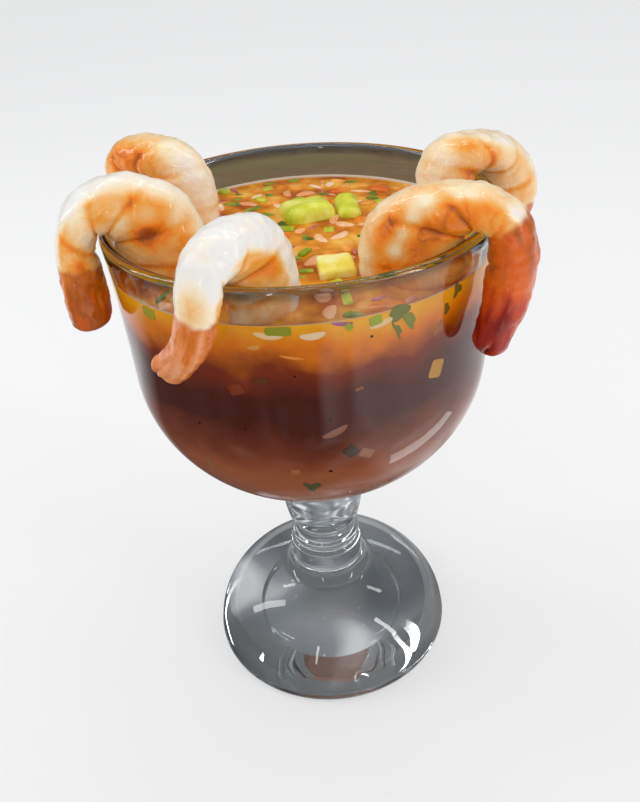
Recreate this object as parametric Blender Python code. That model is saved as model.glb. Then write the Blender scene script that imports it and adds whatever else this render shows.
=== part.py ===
"""Shrimp cocktail served in a stemmed goblet.

A footed glass holds a thin tomato broth with chopped vegetables in it. A cut piece of
avocado and a slice of it, and a yellow cube, stand out of the broth. Five cooked shrimps
are hooked over the rim, each with its thick end in the broth and its tail outside.

Metres, +Z up. The origin is on the glass's axis, on the flat underside of the foot.
"""

import math
import random

import bmesh
import bpy
from mathutils import Matrix, Vector

MM = 0.001
GAP = 0.4 * MM
MERGE_DISTANCE = 0.01 * MM
SMOOTH_UNDER_DEGREES = 40

# The glass
GLASS_SIDES = 44
FOOT_RADIUS = 45.6
FOOT_EDGE_RADIUS = 2.5
FOOT_DOME_HEIGHT = 32.5
FOOT_DOME_POWER = 2.15
FOOT_STEPS = 8
FOOT_STEP_BIAS = 1.8
COLLAR_WIDTH = 3.0
STEM_OUTLINE = (
    (13.9, 33.5),
    (13.3, 38.0),
    (13.5, 43.0),
    (12.0, 45.0),
    (12.8, 47.0),
    (11.2, 49.6),
    (11.0, 52.0),
    (13.2, 56.5),
    (14.6, 66.0),
    (13.3, 75.0),
    (12.3, 79.0),
)
BOWL_RADIUS = 57.0
BOWL_TURN_HEIGHT = 130.0
BOWL_DEPTH = 50.0
BOWL_FROM_STEM = 1.5
BOWL_STEPS = 9
INSIDE_DEPTH = 42.0
WALL_HALF = 1.75
LIP_RADIUS = 57.25
LIP_HEIGHT = 175.65
WALL_STEPS = 4
LIP_STEPS = 8

# The broth
BROTH_LEVEL = 165.7
BROTH_SEED = 7
BIT_COUNT = 46
BIT_SIZES = (2.6, 4.4)
BIT_SPACING = 1.2
BIT_REACH = 0.6
BIT_FLOAT = 0.1
DICE_STRETCH = (1.0, 0.8, 0.7)
SLIVER_STRETCH = (1.5, 0.75, 0.5)

# Flesh stays this far off the glass, so that faceted faces don't touch it.
FLESH_TO_GLASS = 1.0

# The shrimps. Each crosses the lip at one angle round the glass and hangs in an upright
# plane that points another way, both in degrees. Its rows run from the thick end in the
# broth, over the lip, to the tail. A row has a point of the belly and one of the back, both
# as distance outwards and height from the lip, then the half width and the shift sideways.
SHRIMP_SIDES = 14
SHRIMP_SEGMENTS = 6
RINGS_A_SEGMENT = 4
TAIL_RINGS = 7
CURVE_STEPS = 8
SEGMENT_RELIEF = (0.94, 0.99, 1.02, 1.01)
TAIL_BLADES = 3
BLADE_LENGTH = 2.0

SHRIMPS = {
    "shrimp_left_front": {
        "crosses_at": 195.5,
        "points_to": 181.5,
        "rows": (
            (-10.0, -17.5, -24.5, -17.5, 6.0, 0.0),
            (-4.4, -10.5, -28.8, -10.0, 8.6, 0.0),
            (-2.9, -3.5, -28.6, 0.0, 9.4, 0.0),
            (-2.7, -0.4, -26.4, 8.4, 9.6, 0.0),
            (-2.2, 1.4, -20.2, 15.0, 9.6, 0.0),
            (-1.2, 2.4, -10.5, 18.6, 9.4, 0.0),
            (0.0, 2.7, 0.4, 17.7, 9.2, -0.4),
            (1.5, 2.1, 8.8, 12.2, 8.9, -1.8),
            (2.4, -0.4, 12.5, 3.0, 8.6, -3.6),
            (1.6, -6.5, 13.2, -6.5, 8.4, -5.0),
            (1.2, -14.0, 13.2, -14.5, 8.2, -5.8),
            (1.4, -19.8, 12.8, -20.2, 7.6, -6.2),
            (2.4, -23.0, 12.0, -23.6, 6.8, -6.4),
        ),
    },
    "shrimp_left_back": {
        "crosses_at": 146.0,
        "points_to": 145.0,
        "rows": (
            (-9.0, -16.5, -22.0, -16.5, 5.8, 0.0),
            (-4.2, -10.5, -24.6, -10.0, 8.0, 0.0),
            (-2.9, -3.5, -24.6, 0.0, 8.8, 0.0),
            (-2.7, -0.4, -22.5, 8.0, 8.8, 0.0),
            (-2.1, 1.4, -16.5, 13.4, 8.6, 0.0),
            (-1.1, 2.4, -8.0, 15.9, 8.4, 0.0),
            (0.0, 2.7, 2.8, 15.8, 8.2, 0.0),
            (1.6, 2.1, 12.6, 12.4, 7.8, 0.0),
            (2.7, -0.4, 17.4, 4.0, 7.6, 0.0),
            (3.0, -6.5, 18.0, -6.0, 7.2, 0.0),
            (3.4, -14.5, 15.2, -15.5, 6.0, 0.0),
            (5.4, -21.0, 11.4, -22.0, 6.6, 0.0),
            (6.3, -28.0, 8.8, -29.0, 8.0, 0.0),
        ),
    },
    "shrimp_front": {
        "crosses_at": 246.0,
        "points_to": 234.8,
        "rows": (
            (-10.0, -17.0, -23.0, -17.0, 5.6, -4.7),
            (-4.6, -10.5, -27.0, -10.0, 7.6, -4.7),
            (-3.0, -3.5, -26.4, 0.0, 8.2, -4.4),
            (-2.8, -0.3, -23.4, 8.5, 8.2, -4.0),
            (-2.2, 1.5, -17.4, 14.2, 8.0, -3.2),
            (-1.2, 2.4, -8.5, 16.6, 7.8, -2.6),
            (0.0, 2.7, 0.5, 15.6, 7.3, -2.4),
            (1.6, 2.1, 8.0, 11.0, 6.7, -2.4),
            (2.7, -0.6, 12.6, 1.5, 6.0, -2.4),
            (3.2, -6.5, 13.2, -6.5, 5.6, -0.8),
            (4.4, -13.0, 12.9, -13.4, 5.0, 2.8),
            (6.4, -18.4, 11.4, -19.2, 4.8, 8.2),
            (7.6, -22.0, 10.0, -23.2, 5.2, 14.0),
        ),
    },
    "shrimp_right_front": {
        "crosses_at": -37.4,
        "points_to": -13.9,
        "rows": (
            (-12.0, -17.0, -27.0, -17.0, 5.8, 0.6),
            (-5.6, -10.5, -30.8, -10.0, 8.2, 0.7),
            (-3.4, -3.5, -30.8, 0.0, 8.8, 0.7),
            (-3.1, -0.2, -27.2, 8.2, 8.8, 0.4),
            (-2.5, 1.7, -19.4, 13.3, 8.8, 0.0),
            (-1.3, 2.7, -9.5, 15.5, 8.6, 0.0),
            (0.2, 3.0, 2.0, 14.8, 8.4, 0.0),
            (2.2, 2.3, 11.0, 10.0, 8.2, 0.3),
            (3.4, -0.8, 15.8, 1.5, 8.0, 0.6),
            (3.0, -7.5, 16.4, -7.5, 7.8, 1.6),
            (2.4, -15.0, 14.6, -17.0, 7.0, 3.6),
            (1.2, -21.5, 11.6, -24.6, 5.2, 5.6),
            (-0.4, -27.5, 8.4, -32.0, 3.2, 7.4),
        ),
    },
    "shrimp_right_back": {
        "crosses_at": 14.0,
        "points_to": 15.0,
        "rows": (
            (-8.0, -17.0, -18.6, -15.5, 5.4, 2.6),
            (-4.0, -10.5, -20.0, -7.5, 8.0, 3.0),
            (-2.9, -3.5, -20.4, 2.0, 9.0, 3.0),
            (-2.7, -0.3, -18.6, 9.2, 9.2, 2.8),
            (-2.1, 1.6, -13.6, 13.8, 9.2, 2.2),
            (-1.1, 2.6, -5.6, 14.9, 9.2, 1.4),
            (0.2, 2.8, 3.8, 13.5, 9.2, 0.4),
            (1.8, 2.1, 13.4, 9.5, 9.0, -0.8),
            (2.8, -0.6, 20.6, 1.4, 8.6, -1.8),
            (3.2, -7.0, 23.0, -7.6, 8.2, -2.4),
            (3.6, -14.5, 20.2, -16.8, 7.2, -2.6),
            (5.0, -20.5, 14.8, -24.0, 6.4, -2.4),
            (6.2, -26.5, 10.4, -30.5, 7.0, -2.2),
        ),
    },
}

# The cut pieces standing out of the broth: middle, size, and turns about Z and X in degrees
AVOCADO_WEDGE = {"middle": (2.5, 19.5, 164.6), "size": (16.5, 15.5, 10.5), "turns": (14, -6)}
AVOCADO_SLICE = {"middle": (15.9, 20.4, 164.0), "size": (7.4, 15.0, 10.0), "turns": (4, 7)}
YELLOW_CUBE = {"middle": (8.9, -25.0, 163.6), "size": (10.2, 10.2, 10.0), "turns": (5, 5)}
CHUNK_BEVEL = 3.0
CUBE_BEVEL = 1.2
CHUNK_REACH = 0.62
CLEAR_OF_BITS = 1.0


def clear_scene():
    for obj in list(bpy.data.objects):
        bpy.data.objects.remove(obj, do_unlink=True)


def material(name, colour, roughness, alpha=1.0):
    """A Principled material; the colour is linear red, green and blue."""
    made = bpy.data.materials.new(name)
    made.use_nodes = True
    shader = made.node_tree.nodes["Principled BSDF"]
    shader.inputs["Base Color"].default_value = (*colour, 1.0)
    shader.inputs["Roughness"].default_value = roughness
    shader.inputs["Metallic"].default_value = 0.0
    shader.inputs["Alpha"].default_value = alpha
    made.diffuse_color = (*colour, alpha)
    return made


def object_from(name, shape, made_of):
    """Turns a bmesh into a smooth-shaded object with one material."""
    bmesh.ops.recalc_face_normals(shape, faces=shape.faces)
    mesh = bpy.data.meshes.new(name)
    shape.to_mesh(mesh)
    shape.free()
    mesh.shade_smooth()
    mesh.set_sharp_from_angle(angle=math.radians(SMOOTH_UNDER_DEGREES))
    mesh.materials.append(made_of)
    obj = bpy.data.objects.new(name, mesh)
    bpy.context.scene.collection.objects.link(obj)
    return obj


def as_cutter(obj):
    obj.hide_render = True
    obj.display_type = "WIRE"
    return obj


def smooth_through(rows, steps):
    """A Catmull-Rom curve through rows of numbers, with some steps from each to the next."""
    path = []
    last = len(rows) - 1
    for index in range(last):
        before, start = rows[max(index - 1, 0)], rows[index]
        end, after = rows[index + 1], rows[min(index + 2, last)]
        for step in range(steps):
            t = step / steps
            row = []
            for a, b, c, d in zip(before, start, end, after):
                bend = (2 * a - 5 * b + 4 * c - d) * t**2 + (3 * b - a - 3 * c + d) * t**3
                row.append(0.5 * (2 * b + (c - a) * t + bend))
            path.append(tuple(row))
    path.append(tuple(rows[last]))
    return path


def wall_middle(height):
    """Radius of the middle of the glass wall at a height on its upright part."""
    rise = (height - BOWL_TURN_HEIGHT) / (LIP_HEIGHT - BOWL_TURN_HEIGHT)
    straight = BOWL_RADIUS - WALL_HALF
    return straight + (LIP_RADIUS - straight) * max(rise, 0.0) ** 2


def foot_outline():
    """The flat underside, the rounded edge and the dome, from the axis outwards and up."""
    edge_middle = FOOT_RADIUS - FOOT_EDGE_RADIUS
    outline = [(0.0, 0.0), (edge_middle, 0.0)]
    for degrees in (30, 60):
        turn = math.radians(degrees)
        outline.append(
            (
                edge_middle + FOOT_EDGE_RADIUS * math.sin(turn),
                FOOT_EDGE_RADIUS * (1 - math.cos(turn)),
            )
        )
    collar = STEM_OUTLINE[0][0] + COLLAR_WIDTH
    for step in range(FOOT_STEPS + 1):
        radius = FOOT_RADIUS - (FOOT_RADIUS - collar) * (step / FOOT_STEPS) ** FOOT_STEP_BIAS
        share = (radius / FOOT_RADIUS) ** FOOT_DOME_POWER
        height = FOOT_DOME_HEIGHT * max(1 - share, 0.0) ** (1 / FOOT_DOME_POWER)
        outline.append((radius, max(height, FOOT_EDGE_RADIUS)))
    return outline


def bowl_arc(radius, depth, from_radius):
    """The round bottom of the bowl, from near the stem out to where the wall stands up."""
    start = math.asin(from_radius / radius)
    points = []
    for step in range(BOWL_STEPS + 1):
        turn = start + (math.pi / 2 - start) * step / BOWL_STEPS
        height = BOWL_TURN_HEIGHT - depth * math.cos(turn)
        points.append((radius * math.sin(turn), height))
    return points


def wall_side(offset, top):
    """The upright part of the wall, a distance off its middle, from the bottom up."""
    points = []
    for step in range(1, WALL_STEPS + 1):
        height = BOWL_TURN_HEIGHT + (top - BOWL_TURN_HEIGHT) * step / WALL_STEPS
        points.append((wall_middle(height) + offset, height))
    return points


def lip_arc():
    """The rounded lip, from its outer side over the top to its inner side."""
    points = []
    for step in range(1, LIP_STEPS):
        turn = math.pi * step / LIP_STEPS
        radius = LIP_RADIUS + WALL_HALF * math.cos(turn)
        points.append((radius, LIP_HEIGHT + WALL_HALF * math.sin(turn)))
    return points


def inside_outline(gap, top):
    """The inner side of the bowl, moved inwards by a gap, from the axis up to a height."""
    radius = BOWL_RADIUS - 2 * WALL_HALF - gap
    arc = bowl_arc(radius, INSIDE_DEPTH - gap, 0.0)
    return arc + wall_side(-WALL_HALF - gap, top)


def turned(outline):
    """A closed bmesh turned about Z from an outline in millimetres that starts and ends on it."""
    shape = bmesh.new()
    points = [shape.verts.new((r * MM, 0.0, z * MM)) for r, z in outline]
    edges = [shape.edges.new(pair) for pair in zip(points, points[1:])]
    bmesh.ops.spin(
        shape,
        geom=points + edges,
        cent=(0, 0, 0),
        axis=(0, 0, 1),
        angle=math.tau,
        steps=GLASS_SIDES,
        use_merge=True,
    )
    bmesh.ops.remove_doubles(shape, verts=shape.verts, dist=MERGE_DISTANCE)
    return shape


def make_glass():
    clear_glass = material("pressed_glass", (0.80, 0.84, 0.85), 0.05, 0.35)
    outline = foot_outline()
    outline += STEM_OUTLINE
    outline += bowl_arc(BOWL_RADIUS, BOWL_DEPTH, STEM_OUTLINE[-1][0] + BOWL_FROM_STEM)
    outline += wall_side(WALL_HALF, LIP_HEIGHT)
    outline += lip_arc()
    outline += reversed(inside_outline(0.0, LIP_HEIGHT))
    return object_from("glass", turned(outline), clear_glass)


def off_the_wall(point):
    """Moves a point of flesh, in millimetres, off the glass it is pressed flat against."""
    height = min(point.z, LIP_HEIGHT)
    radius = math.hypot(point.x, point.y)
    away = Vector((radius - wall_middle(height), point.z - height))
    reach = WALL_HALF + FLESH_TO_GLASS
    if away.length >= reach or point.z < BOWL_TURN_HEIGHT:
        return point
    away *= reach / away.length
    scale = (wall_middle(height) + away.x) / radius
    return Vector((point.x * scale, point.y * scale, height + away.y))


def evenly_along(path, count):
    """Rows at equal distances along the middle between a path's belly and back points."""
    middles = [((row[0] + row[2]) / 2, (row[1] + row[3]) / 2, row[5]) for row in path]
    lengths = [0.0]
    for start, end in zip(middles, middles[1:]):
        lengths.append(lengths[-1] + math.dist(start, end))
    rows = []
    place = 0
    for index in range(count):
        target = lengths[-1] * index / (count - 1)
        while place < len(path) - 2 and lengths[place + 1] < target:
            place += 1
        span = lengths[place + 1] - lengths[place]
        share = (target - lengths[place]) / span
        rows.append(
            tuple(a + (b - a) * share for a, b in zip(path[place], path[place + 1]))
        )
    return rows


def shrimp_rings(shrimp, count):
    """For each ring of a shrimp: its middle, half height towards the back, half width."""
    crosses = math.radians(shrimp["crosses_at"])
    points = math.radians(shrimp["points_to"])
    lip = Vector((math.cos(crosses), math.sin(crosses), 0)) * LIP_RADIUS
    lip.z = LIP_HEIGHT
    outwards = Vector((math.cos(points), math.sin(points), 0))
    up = Vector((0, 0, 1))
    side = outwards.cross(up)
    rings = []
    for row in evenly_along(smooth_through(shrimp["rows"], CURVE_STEPS), count):
        belly = lip + outwards * row[0] + up * row[1] + side * row[5]
        back = lip + outwards * row[2] + up * row[3] + side * row[5]
        rings.append(((belly + back) / 2, (back - belly) / 2, row[4]))
    return rings


def shrimp_shape(shrimp, grow=0.0):
    """A closed bmesh of one shrimp, with a dip at each segment and blades on its tail.

    Grown by a gap it is the cutter of its pocket, which isn't pressed off the glass.
    """
    body_rings = SHRIMP_SEGMENTS * RINGS_A_SEGMENT
    rings = shrimp_rings(shrimp, body_rings + TAIL_RINGS)
    shape = bmesh.new()
    loops = []
    for index, (middle, back, half_width) in enumerate(rings):
        ahead = rings[min(index + 1, len(rings) - 1)][0]
        behind = rings[max(index - 1, 0)][0]
        along = (ahead - behind).normalized()
        half_height = back.length + grow
        back = back.normalized()
        side = back.cross(along).normalized()
        relief = SEGMENT_RELIEF[index % RINGS_A_SEGMENT] if index < body_rings else 1.0
        loop = []
        for corner in range(SHRIMP_SIDES):
            turn = math.tau * corner / SHRIMP_SIDES
            across = (half_width + grow) * math.cos(turn)
            point = middle + (side * across + back * half_height * math.sin(turn)) * relief
            if index == len(rings) - 1:
                blade = abs(math.cos(TAIL_BLADES * math.pi / 2 * math.cos(turn)))
                point += along * (BLADE_LENGTH * blade + grow)
            if index == 0:
                point -= along * grow
            if not grow:
                point = off_the_wall(point)
            loop.append(shape.verts.new(point * MM))
        loops.append(loop)
    for loop, following in zip(loops, loops[1:]):
        for corner in range(SHRIMP_SIDES):
            other = (corner + 1) % SHRIMP_SIDES
            shape.faces.new((loop[corner], loop[other], following[other], following[corner]))
    shape.faces.new(loops[0])
    shape.faces.new(loops[-1])
    return shape


def chunk_shape(chunk, bevel, grow=0.0):
    """A closed bmesh of a cut piece: a box with rounded edges, grown by a gap for its cutter."""
    shape = bmesh.new()
    bmesh.ops.create_cube(shape, size=1.0)
    size = Vector(chunk["size"]) + Vector((grow, grow, grow)) * 2
    bmesh.ops.scale(shape, vec=size * MM, verts=shape.verts)
    bmesh.ops.bevel(
        shape,
        geom=shape.verts[:] + shape.edges[:],
        offset=bevel * MM,
        segments=2,
        profile=0.5,
        affect="EDGES",
        material=-1,
    )
    about_z, about_x = (math.radians(turn) for turn in chunk["turns"])
    turn = Matrix.Rotation(about_z, 3, "Z") @ Matrix.Rotation(about_x, 3, "X")
    bmesh.ops.rotate(shape, cent=(0, 0, 0), matrix=turn, verts=shape.verts)
    bmesh.ops.translate(shape, vec=Vector(chunk["middle"]) * MM, verts=shape.verts)
    return shape


def taken_places():
    """Circles on the broth that shrimps and cut pieces take up: x, y and radius."""
    circles = []
    for shrimp in SHRIMPS.values():
        for middle, back, half_width in shrimp_rings(shrimp, 2 * RINGS_A_SEGMENT):
            across = Vector((back.x, back.y)).length
            for share in (-0.5, 0.0, 0.5):
                place = middle + back * share
                reach = max(half_width, across / 2) + CLEAR_OF_BITS
                circles.append((place.x, place.y, reach))
    for chunk in (AVOCADO_WEDGE, AVOCADO_SLICE, YELLOW_CUBE):
        x, y, _ = chunk["middle"]
        circles.append((x, y, CHUNK_REACH * max(chunk["size"][:2]) + CLEAR_OF_BITS))
    return circles


def bit_shape(kind, size, place, turn):
    """One small piece afloat: a dice of green olive or pepper, or a rounded bit of onion."""
    shape = bmesh.new()
    if kind == "dice":
        bmesh.ops.create_cube(shape, size=size)
        stretch = DICE_STRETCH
    else:
        bmesh.ops.create_icosphere(shape, subdivisions=1, radius=size * BIT_REACH)
        stretch = SLIVER_STRETCH
    bmesh.ops.scale(shape, vec=stretch, verts=shape.verts)
    bmesh.ops.rotate(
        shape, cent=(0, 0, 0), matrix=Matrix.Rotation(turn, 3, "Z"), verts=shape.verts
    )
    bmesh.ops.translate(shape, vec=place, verts=shape.verts)
    return shape


def fuse_bits(broth, made_of):
    """Joins small pieces to the broth's surface, clear of the glass and of what stands there."""
    chance = random.Random(BROTH_SEED)
    bits = bpy.data.collections.new("bits")
    bpy.context.scene.collection.children.link(bits)
    circles = taken_places()
    reach = wall_middle(BROTH_LEVEL) - WALL_HALF
    made = 0
    while made < BIT_COUNT:
        kind = chance.choice(("dice", "sliver", "sliver"))
        size = chance.uniform(*BIT_SIZES)
        x, y = chance.uniform(-reach, reach), chance.uniform(-reach, reach)
        turn = chance.uniform(0, math.tau)
        if math.hypot(x, y) + size + BIT_SPACING > reach:
            continue
        if any(math.dist((x, y), c[:2]) < c[2] + size for c in circles):
            continue
        circles.append((x, y, size * BIT_REACH))
        place = Vector((x, y, BROTH_LEVEL + BIT_FLOAT * size)) * MM
        bit = object_from(f"bit_{made}", bit_shape(kind, size * MM, place, turn), made_of)
        bpy.context.scene.collection.objects.unlink(bit)
        bits.objects.link(bit)
        made += 1
    union = broth.modifiers.new("bits", "BOOLEAN")
    union.operation = "UNION"
    union.solver = "EXACT"
    union.operand_type = "COLLECTION"
    union.collection = bits
    apply_all(broth)
    for bit in list(bits.objects):
        bpy.data.objects.remove(bit, do_unlink=True)
    bpy.data.collections.remove(bits)


def apply_all(obj):
    """Replaces an object's mesh by what its modifiers make of it."""
    graph = bpy.context.evaluated_depsgraph_get()
    finished = bpy.data.meshes.new_from_object(obj.evaluated_get(graph))
    obj.modifiers.clear()
    obj.data = finished


def cut(obj, cutter, name):
    """Takes a cutter out of an object with a live Boolean."""
    boolean = obj.modifiers.new(name, "BOOLEAN")
    boolean.operation = "DIFFERENCE"
    boolean.solver = "EXACT"
    boolean.object = cutter


def make_broth(made_of):
    outline = inside_outline(GAP / MM, BROTH_LEVEL) + [(0.0, BROTH_LEVEL)]
    broth = object_from("broth", turned(outline), made_of)
    fuse_bits(broth, made_of)
    return broth


def make_shrimps(broth, made_of):
    """Each shrimp, and a pocket in the broth round the end that dips into it."""
    for name, shrimp in SHRIMPS.items():
        object_from(name, shrimp_shape(shrimp), made_of)
        pocket = object_from(f"{name}_pocket", shrimp_shape(shrimp, GAP / MM), made_of)
        cut(broth, as_cutter(pocket), name)


def make_chunk(name, chunk, bevel, broth, made_of):
    """A cut piece, and a pocket in the broth round it."""
    object_from(name, chunk_shape(chunk, bevel), made_of)
    pocket = object_from(f"{name}_pocket", chunk_shape(chunk, bevel, GAP / MM), made_of)
    cut(broth, as_cutter(pocket), name)


def main():
    clear_scene()
    make_glass()
    broth = make_broth(material("tomato_broth", (0.42, 0.10, 0.02), 0.15))
    make_shrimps(broth, material("cooked_shrimp", (0.85, 0.55, 0.30), 0.35))
    avocado = material("ripe_avocado", (0.52, 0.60, 0.06), 0.4)
    yellow = material("yellow_cut_piece", (0.90, 0.72, 0.16), 0.4)
    make_chunk("avocado_wedge", AVOCADO_WEDGE, CHUNK_BEVEL, broth, avocado)
    make_chunk("avocado_slice", AVOCADO_SLICE, CHUNK_BEVEL, broth, avocado)
    make_chunk("yellow_cube", YELLOW_CUBE, CUBE_BEVEL, broth, yellow)


main()
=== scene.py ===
# %% [markdown]
# Shrimp cocktail in a goblet
#
# A footed glass is nearly full of tomato broth, with cut avocado, a yellow cube and many
# small chopped pieces afloat. Five cooked shrimps hang over its rim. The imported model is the
# fixed frame: every piece below is made in the place of one of its solids, in metres.

# %% The frame and the helpers
import math
import random

import bmesh
import bpy
from mathutils import Matrix, Vector, noise


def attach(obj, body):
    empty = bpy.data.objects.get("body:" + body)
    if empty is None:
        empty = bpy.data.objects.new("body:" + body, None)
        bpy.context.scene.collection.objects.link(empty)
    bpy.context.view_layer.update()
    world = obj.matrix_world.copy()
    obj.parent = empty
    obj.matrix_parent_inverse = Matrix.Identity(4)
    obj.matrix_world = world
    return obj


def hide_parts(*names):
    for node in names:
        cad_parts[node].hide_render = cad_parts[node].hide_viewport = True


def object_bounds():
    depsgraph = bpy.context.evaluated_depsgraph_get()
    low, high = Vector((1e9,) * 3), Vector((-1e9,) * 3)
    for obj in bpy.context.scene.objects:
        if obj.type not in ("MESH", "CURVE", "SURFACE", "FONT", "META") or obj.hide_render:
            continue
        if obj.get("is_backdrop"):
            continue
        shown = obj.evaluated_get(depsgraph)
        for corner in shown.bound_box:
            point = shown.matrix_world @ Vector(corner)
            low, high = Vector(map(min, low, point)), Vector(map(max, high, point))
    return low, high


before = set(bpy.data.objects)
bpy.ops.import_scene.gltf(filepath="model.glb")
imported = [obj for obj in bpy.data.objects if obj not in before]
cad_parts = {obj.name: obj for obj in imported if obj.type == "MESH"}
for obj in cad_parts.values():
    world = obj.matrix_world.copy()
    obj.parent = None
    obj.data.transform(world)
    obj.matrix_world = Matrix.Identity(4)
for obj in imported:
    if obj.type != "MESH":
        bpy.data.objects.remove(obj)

cad_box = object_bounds()
MM = 0.001
UP = Vector((0, 0, 1))
print("the CAD box in metres:", [[round(x, 4) for x in corner] for corner in cad_box])


def linear(code):
    """An sRGB hex colour, such as E8A05A, as linear red, green, blue and alpha."""
    shares = [int(code[i : i + 2], 16) / 255 for i in (0, 2, 4)]
    bent = [c / 12.92 if c <= 0.04045 else ((c + 0.055) / 1.055) ** 2.4 for c in shares]
    return (*bent, 1.0)


COLOURS = {"data_type": "RGBA"}


def feed(node, **links):
    """Links a node's inputs to sockets or other nodes, or sets them to values.

    A link's name is the input's, with _ for a space, or _ and its number. A node gives the
    first of its outputs that is in use.
    """
    for name, value in links.items():
        socket = node.inputs[int(name[1:]) if name[1:].isdigit() else name.replace("_", " ")]
        if isinstance(value, bpy.types.Node):
            value = next(output for output in value.outputs if output.enabled)
        if isinstance(value, bpy.types.NodeSocket):
            node.id_data.links.new(value, socket)
        else:
            socket.default_value = value


def add(tree, kind, settings=None, stops=(), **links):
    """Adds one shader node with its settings and links.

    The kind leaves out the word ShaderNode. The settings may be the name of an operation,
    and COLOURS make a Mix node mix colours. Stops are (place, hex colour) pairs.
    """
    made = tree.nodes.new("ShaderNode" + kind)
    if isinstance(settings, str):
        settings = {"operation": settings}
    for name, value in (settings or {}).items():
        setattr(made, name, value)
    for index, (place, code) in enumerate(stops):
        elements = made.color_ramp.elements
        element = elements[index] if index < 2 else elements.new(place)
        element.position = place
        element.color = linear(code)
    feed(made, **links)
    return made


def new_material(name, **values):
    """A Principled material with some of its sockets set, its node tree and its shader."""
    made = bpy.data.materials.new(name)
    made.use_nodes = True
    shader = made.node_tree.nodes["Principled BSDF"]
    feed(shader, **values)
    return made, made.node_tree, shader


def finish_mesh(name, shape, *materials, sharp=None):
    """Turns a bmesh into a smooth object at the origin and links it to the scene."""
    mesh = bpy.data.meshes.new(name)
    shape.to_mesh(mesh)
    shape.free()
    mesh.shade_smooth()
    if sharp is not None:
        mesh.set_sharp_from_angle(angle=math.radians(sharp))
    for made_of in materials:
        mesh.materials.append(made_of)
    obj = bpy.data.objects.new(name, mesh)
    bpy.context.scene.collection.objects.link(obj)
    return obj


def piece(obj, slot, *nodes):
    """Ties a finished piece to the body and hides the solids it stands for; its finish slot is not
    used.
    """
    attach(obj, "root")
    if nodes:
        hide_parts(*nodes)
    obj.data.calc_loop_triangles()
    print(obj.name, "has", len(obj.data.loop_triangles), "triangles")


# %% [markdown]
# The camera
#
# The photograph looks down at the goblet from close by, so the rim looks much wider than
# the foot. The camera's place and turn were worked out from the ellipses of the rim, the
# broth and the foot, which fix a view uniquely when it is as near as this one.

# %% The camera
IMAGE_WIDTH, IMAGE_HEIGHT = 640, 802
FOCAL_PIXELS = 801
SENSOR_WIDTH = 36.0
CAMERA_PLACE = Vector((0.0, -230.0, 261.5)) * MM
CAMERA_TURN = math.radians(0.43)
CAMERA_PITCH = math.radians(34.19)
CAMERA_ROLL = math.radians(-4.54)

lens = bpy.data.cameras.new("camera")
lens.sensor_width = SENSOR_WIDTH
lens.sensor_fit = "AUTO"
lens.lens = SENSOR_WIDTH * FOCAL_PIXELS / max(IMAGE_WIDTH, IMAGE_HEIGHT)
lens.clip_start = 0.01
camera = bpy.data.objects.new("camera", lens)
bpy.context.scene.collection.objects.link(camera)

level, drop = math.cos(CAMERA_PITCH), math.sin(CAMERA_PITCH)
forward = Vector((math.sin(CAMERA_TURN) * level, math.cos(CAMERA_TURN) * level, -drop))
level_right = forward.cross(UP).normalized()
level_up = level_right.cross(forward)
right = level_right * math.cos(CAMERA_ROLL) + level_up * math.sin(CAMERA_ROLL)
upward = level_up * math.cos(CAMERA_ROLL) - level_right * math.sin(CAMERA_ROLL)
turn = Matrix((right, upward, -forward)).transposed().to_4x4()
camera.matrix_world = Matrix.Translation(CAMERA_PLACE) @ turn
bpy.context.scene.camera = camera
print("lens", round(lens.lens, 2), "mm, looking along", [round(x, 3) for x in forward])

# %% [markdown]
# The floor and the light
#
# Food is lit softly, from a large window or a soft box, so that wet flesh shines in broad
# patches and shadows have no edge. Clear glass has no colour of its own: it shows what is
# round it. The room of the photograph was darker than the pale ground that the goblet now
# stands on, so the floor and the world are pale for the eye and for soft light. For rays
# that have come through glass or off a shine they are greys, with slow smears as in a room
# out of focus. A share of the floor's light is its own, which keeps it even.

# %% The floor
FLOOR_SIZE = 8.0
FLOOR_COLOUR = "F0F0F0"
BLACK = linear("000000")
# In glass the floor shows these greys: painted reflections of a darker room, with slow smears
FLOOR_UNDER_GLASS = ((0.30, "5C6064"), (0.45, "84888C"), (0.57, "A2A5A9"), (0.68, "F0F1F3"))
FLOOR_BEHIND_GLASS = "6A5E4C"
FLOOR_IN_LEFT_SHINE = "46484C"

# From where to where, in metres off the axis, the floor as glass shows it darkens behind the
# glass, and turns pale in a shine to the right and further away: painted reflections
BEHIND_FROM, BEHIND_TO = 0.12, 0.42
RIGHT_FROM, RIGHT_TO = 0.11, 0.20
AWAY_FROM, AWAY_TO = 0.06, 0.16
STREAK = 60 * MM
STREAK_REACH = 0.20
SMEAR = 34 * MM
OWN_LIGHT = 0.4

floor_matt, tree, shader = new_material("matt_studio_paper", Roughness=0.9, Specular_IOR_Level=0.0)
rays = add(tree, "LightPath").outputs
through, shining = rays["Is Transmission Ray"], rays["Is Glossy Ray"]
place = add(tree, "TexCoord").outputs["Object"]
across, away, _ = add(tree, "SeparateXYZ", Vector=place).outputs
behind = add(tree, "MapRange", Value=away, From_Min=BEHIND_FROM, From_Max=BEHIND_TO)
smears = add(tree, "TexNoise", Vector=place, Scale=1 / SMEAR, Detail=1.0, Distortion=0.5)
under_glass = add(tree, "ValToRGB", stops=FLOOR_UNDER_GLASS, _0=smears)
through_glass = add(tree, "Mix", COLOURS, _0=behind, _6=under_glass, _7=linear(FLOOR_BEHIND_GLASS))
streaks = add(tree, "TexNoise", Vector=place, Scale=1 / STREAK, Detail=0.0)
streaked = add(tree, "Math", "MULTIPLY_ADD", _0=streaks, _1=STREAK_REACH, _2=across)
to_the_right = add(tree, "MapRange", Value=streaked, From_Min=RIGHT_FROM, From_Max=RIGHT_TO)
further_away = add(tree, "MapRange", Value=away, From_Min=AWAY_FROM, From_Max=AWAY_TO)
bright_shine = add(tree, "Math", "MAXIMUM", _0=to_the_right, _1=further_away)
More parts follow.
